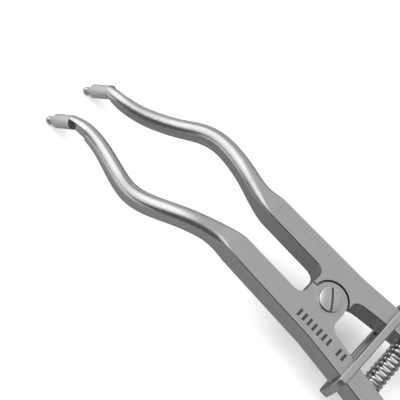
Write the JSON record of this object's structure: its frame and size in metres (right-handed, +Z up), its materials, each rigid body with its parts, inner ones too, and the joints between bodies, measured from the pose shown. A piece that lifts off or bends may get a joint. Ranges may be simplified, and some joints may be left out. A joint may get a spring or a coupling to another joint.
{
  "type": "rubber dam clamp forceps",
  "caption": "Slim steel forceps with curved beaks ending in small ball tips, a slotted pivot screw, a coil spring between the handles and a sliding lock ring.",
  "frame": {"origin": "on the table under the middle of the tool's outline, with the tool lying on its two ball tips and the ends of its two handles", "axes": "+Y from the handles to the tips, +X to the right arm seen with the screw head upwards, +Z up"},
  "size_m": [0.0438, 0.176, 0.0205],
  "materials": {
    "arm_steel": "satin brushed along the arms, polished on the beaks",
    "screw_steel": "turned and polished",
    "spring_wire": "bright drawn wire",
    "peg_steel": "turned",
    "ring_steel": "satin with bright edges"
  },
  "bodies": {
    "left_half": {"left_arm": "arm_steel", "left_spring_peg": "peg_steel", "spring": "spring_wire"},
    "right_half": {"right_arm": "arm_steel", "pivot_screw": "screw_steel", "right_spring_peg": "peg_steel"},
    "ring": {"lock_ring": "ring_steel"}
  },
  "joints": [
    {"name": "squeeze", "type": "hinge", "parent": "left_half", "child": "right_half", "pos_m": [0, 0.01259, 0.01498], "axis": [0, 0.1127, -0.9936], "range_deg": [0, 12], "stiffness_Nm_per_rad": 3.4, "springref_deg": -1.72, "deforming": ["spring"]},
    {"name": "ring_slide", "type": "slide", "parent": "left_half", "child": "ring", "axis": [0, -0.9936, -0.1127], "range_m": [-0.0085, 0.0075]}
  ]
}
